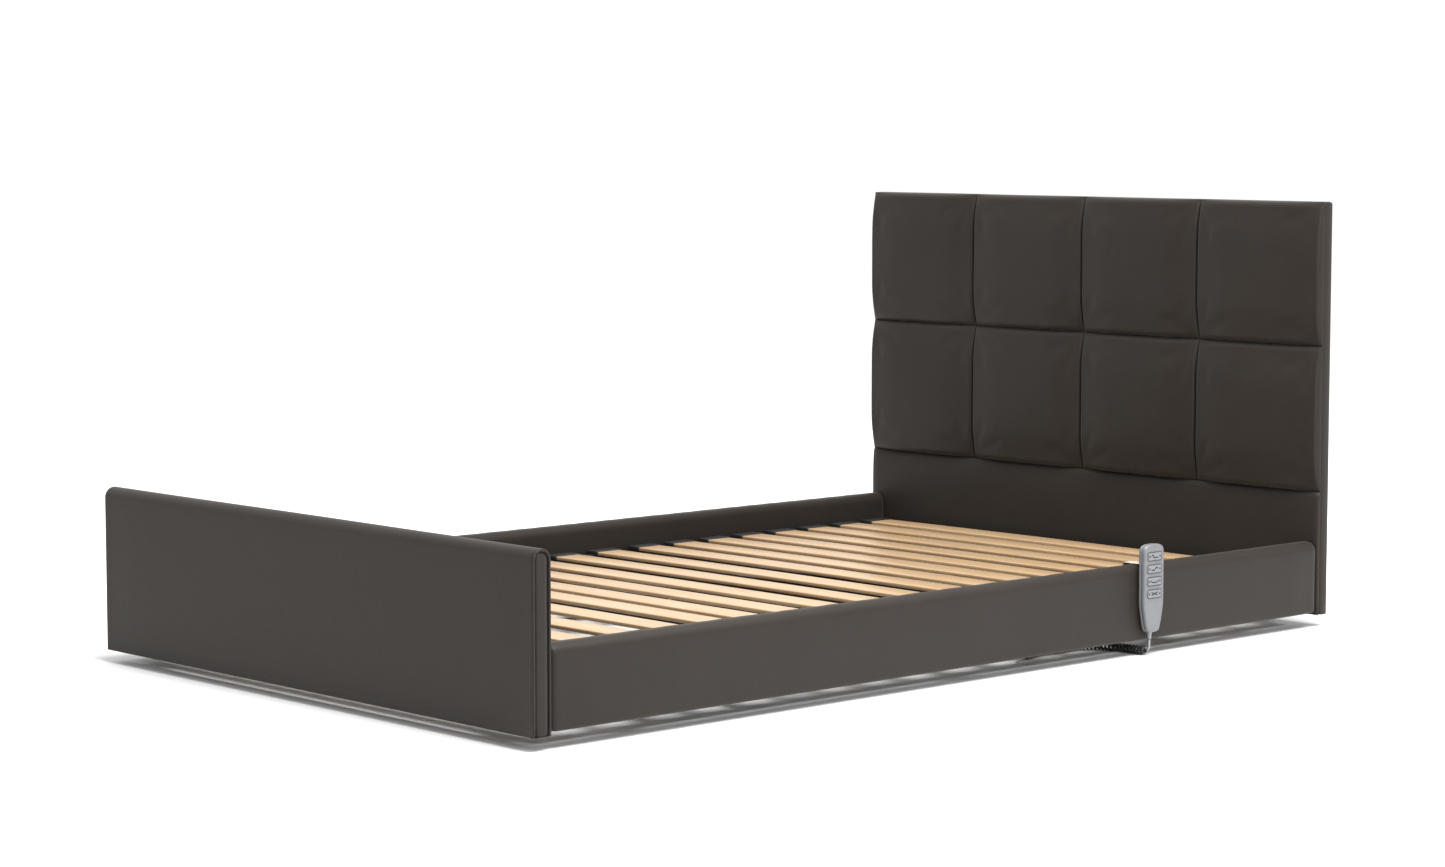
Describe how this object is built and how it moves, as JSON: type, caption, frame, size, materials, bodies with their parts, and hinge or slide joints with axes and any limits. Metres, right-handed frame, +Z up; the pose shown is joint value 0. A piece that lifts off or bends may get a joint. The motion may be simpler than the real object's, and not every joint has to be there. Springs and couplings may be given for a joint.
{
  "type": "adjustable bed base",
  "caption": "Upholstered adjustable bed base: slatted deck with lifting back, thigh and calf sections, low scissor lift, twin drive and wired handset.",
  "frame": {"origin": "middle of the floor area under the bed, at floor level", "axes": "+X towards the side that carries the handset, +Y towards the headboard, +Z up"},
  "size_m": [1.3136, 2.108, 0.871],
  "materials": {
    "leather": "dark taupe faux leather, fine pebble grain, low sheen",
    "board": "plain spruce plywood edge and face",
    "slats": "clear lacquered birch",
    "frame_steel": "graphite powder coat, fine texture",
    "zinc_steel": "zinc plated",
    "rubber_foot": "matt black rubber",
    "drive_plastic": "black spark-eroded plastic",
    "handset_plastic": "silver-grey satin plastic",
    "cream_plastic": "cream satin plastic",
    "grey_lead": "light grey flexible jacket",
    "cord_jacket": "black flexible jacket"
  },
  "bodies": {
    "floor_base": {"floor_frame": "frame_steel", "floor_foot_front_right": "rubber_foot", "floor_foot_front_left": "rubber_foot", "floor_foot_rear_right": "rubber_foot", "floor_foot_rear_left": "rubber_foot"},
    "outer_scissor": {"outer_scissor_arms": "frame_steel"},
    "inner_scissor": {"inner_scissor_arms": "frame_steel"},
    "bed_roller_right": {"bed_roller_right": "drive_plastic"},
    "bed_roller_left": {"bed_roller_left": "drive_plastic"},
    "floor_roller_right": {"floor_roller_right": "drive_plastic"},
    "floor_roller_left": {"floor_roller_left": "drive_plastic"},
    "lift_motor": {"lift_actuator_body": "drive_plastic"},
    "lift_rod": {"lift_actuator_rod": "zinc_steel"},
    "bed_frame": {"main_frame": "frame_steel", "side_rail_board_right": "board", "side_rail_board_left": "board", "side_rail_cover_right": "leather", "side_rail_cover_left": "leather", "footboard_core": "board", "footboard_cover": "leather", "footboard_end_strip_right": "leather", "footboard_end_strip_left": "leather", "headboard_cover": "leather", "headboard_core": "board", "headboard_lower_pad": "leather", "headboard_tile_lower_1": "leather", "headboard_tile_lower_2": "leather", "headboard_tile_lower_3": "leather", "headboard_tile_lower_4": "leather", "headboard_tile_upper_1": "leather", "headboard_tile_upper_2": "leather", "headboard_tile_upper_3": "leather", "headboard_tile_upper_4": "leather", "seat_slats": "slats", "drive_housing": "drive_plastic", "drive_cover": "drive_plastic", "back_motor": "drive_plastic", "leg_motor": "drive_plastic", "handset_socket": "drive_plastic", "cord_lead": "grey_lead", "cord_coil": "cord_jacket", "cord_tail": "cord_jacket", "cord_plug": "drive_plastic"},
    "back_section": {"back_frame": "frame_steel", "back_slats": "slats"},
    "thigh_section": {"thigh_frame": "frame_steel", "thigh_slats": "slats"},
    "calf_section": {"calf_frame": "frame_steel", "calf_slats": "slats"},
    "back_torque": {"back_torque_tube": "zinc_steel"},
    "leg_torque": {"leg_torque_tube": "zinc_steel"},
    "back_drive_slider": {"back_slider": "cream_plastic"},
    "leg_drive_slider": {"leg_slider": "cream_plastic"},
    "handset": {"handset_back": "handset_plastic", "handset_face": "handset_plastic", "handset_hook": "cream_plastic"},
    "key_1": {"handset_key_1": "handset_plastic"},
    "key_2": {"handset_key_2": "handset_plastic"},
    "key_3": {"handset_key_3": "handset_plastic"},
    "key_4": {"handset_key_4": "handset_plastic"}
  },
  "joints": [
    {"name": "height_lift", "type": "hinge", "parent": "floor_base", "child": "outer_scissor", "pos_m": [0, 0.62, 0.036], "axis": [-1, 0, 0], "range_deg": [0, 18.9]},
    {"name": "scissor_cross", "type": "hinge", "parent": "outer_scissor", "child": "inner_scissor", "pos_m": [0, 0.00023, 0.053], "axis": [1, 0, 0], "range_deg": [0, 37.8]},
    {"name": "frame_level", "type": "hinge", "parent": "inner_scissor", "child": "bed_frame", "pos_m": [0, 0.62, 0.07], "axis": [-1, 0, 0], "range_deg": [0, 18.9]},
    {"name": "bed_roller_right_spin", "type": "hinge", "parent": "outer_scissor", "child": "bed_roller_right", "pos_m": [0, -0.61953, 0.07], "axis": [1, 0, 0], "continuous": true},
    {"name": "floor_roller_right_spin", "type": "hinge", "parent": "inner_scissor", "child": "floor_roller_right", "pos_m": [0, -0.61953, 0.036], "axis": [1, 0, 0], "continuous": true},
    {"name": "bed_roller_left_spin", "type": "hinge", "parent": "outer_scissor", "child": "bed_roller_left", "pos_m": [0, -0.61953, 0.07], "axis": [1, 0, 0], "continuous": true},
    {"name": "floor_roller_left_spin", "type": "hinge", "parent": "inner_scissor", "child": "floor_roller_left", "pos_m": [0, -0.61953, 0.036], "axis": [1, 0, 0], "continuous": true},
    {"name": "lift_motor_tilt", "type": "hinge", "parent": "floor_base", "child": "lift_motor", "pos_m": [-0.382, 0.11, 0.045], "axis": [1, 0, 0], "range_deg": [0, 2.65]},
    {"name": "lift_rod_travel", "type": "slide", "parent": "lift_motor", "child": "lift_rod", "axis": [0, 0.9968, 0.0804], "range_m": [0, 0.02075]},
    {"name": "back_rest", "type": "hinge", "parent": "bed_frame", "child": "back_section", "pos_m": [0, 0.192, 0.102], "axis": [1, 0, 0], "range_deg": [0, 65]},
    {"name": "thigh_rest", "type": "hinge", "parent": "bed_frame", "child": "thigh_section", "pos_m": [0, -0.028, 0.102], "axis": [-1, 0, 0], "range_deg": [0, 35]},
    {"name": "calf_rest", "type": "hinge", "parent": "thigh_section", "child": "calf_section", "pos_m": [0, -0.34, 0.102], "axis": [1, 0, 0], "range_deg": [0, 50.97]},
    {"name": "back_shaft_turn", "type": "hinge", "parent": "bed_frame", "child": "back_torque", "pos_m": [0, 0.33, 0.068], "axis": [1, 0, 0], "range_deg": [0, 112]},
    {"name": "leg_shaft_turn", "type": "hinge", "parent": "bed_frame", "child": "leg_torque", "pos_m": [0, -0.12, 0.068], "axis": [-1, 0, 0], "range_deg": [0, 64.1]},
    {"name": "back_slider_travel", "type": "slide", "parent": "bed_frame", "child": "back_drive_slider", "axis": [0, 1, 0], "range_m": [0, 0.03666]},
    {"name": "leg_slider_travel", "type": "slide", "parent": "bed_frame", "child": "leg_drive_slider", "axis": [0, -1, 0], "range_m": [0, 0.02352]},
    {"name": "handset_unhook", "type": "slide", "parent": "bed_frame", "child": "handset", "axis": [0, 0, 1], "range_m": [0, 0.06]},
    {"name": "back_key_rock", "type": "hinge", "parent": "handset", "child": "key_1", "pos_m": [0.6665, 0.48, 0.196], "axis": [0, 0, 1], "range_deg": [-2.5, 2.5], "stiffness_Nm_per_rad": 0.02},
    {"name": "knee_key_rock", "type": "hinge", "parent": "handset", "child": "key_2", "pos_m": [0.6665, 0.48, 0.1717], "axis": [0, 0, 1], "range_deg": [-2.5, 2.5], "stiffness_Nm_per_rad": 0.02},
    {"name": "contour_key_rock", "type": "hinge", "parent": "handset", "child": "key_3", "pos_m": [0.6665, 0.48, 0.1474], "axis": [0, 0, 1], "range_deg": [-2.5, 2.5], "stiffness_Nm_per_rad": 0.02},
    {"name": "height_key_rock", "type": "hinge", "parent": "handset", "child": "key_4", "pos_m": [0.6665, 0.48, 0.1231], "axis": [0, 0, 1], "range_deg": [-2.5, 2.5], "stiffness_Nm_per_rad": 0.02}
  ],
  "couplings": [
    {"joint": "scissor_cross", "follows": "height_lift", "ratio": 2},
    {"joint": "frame_level", "follows": "height_lift", "ratio": 1},
    {"joint": "lift_motor_tilt", "follows": "height_lift", "ratio": 0.13766},
    {"joint": "lift_rod_travel", "follows": "height_lift", "m_per_rad": 0.06229},
    {"joint": "back_shaft_turn", "follows": "back_rest", "ratio": 1.7215},
    {"joint": "back_slider_travel", "follows": "back_rest", "m_per_rad": 0.03214},
    {"joint": "calf_rest", "follows": "thigh_rest", "ratio": 1.4535},
    {"joint": "leg_shaft_turn", "follows": "thigh_rest", "ratio": 1.8286},
    {"joint": "leg_slider_travel", "follows": "thigh_rest", "m_per_rad": 0.03817}
  ]
}
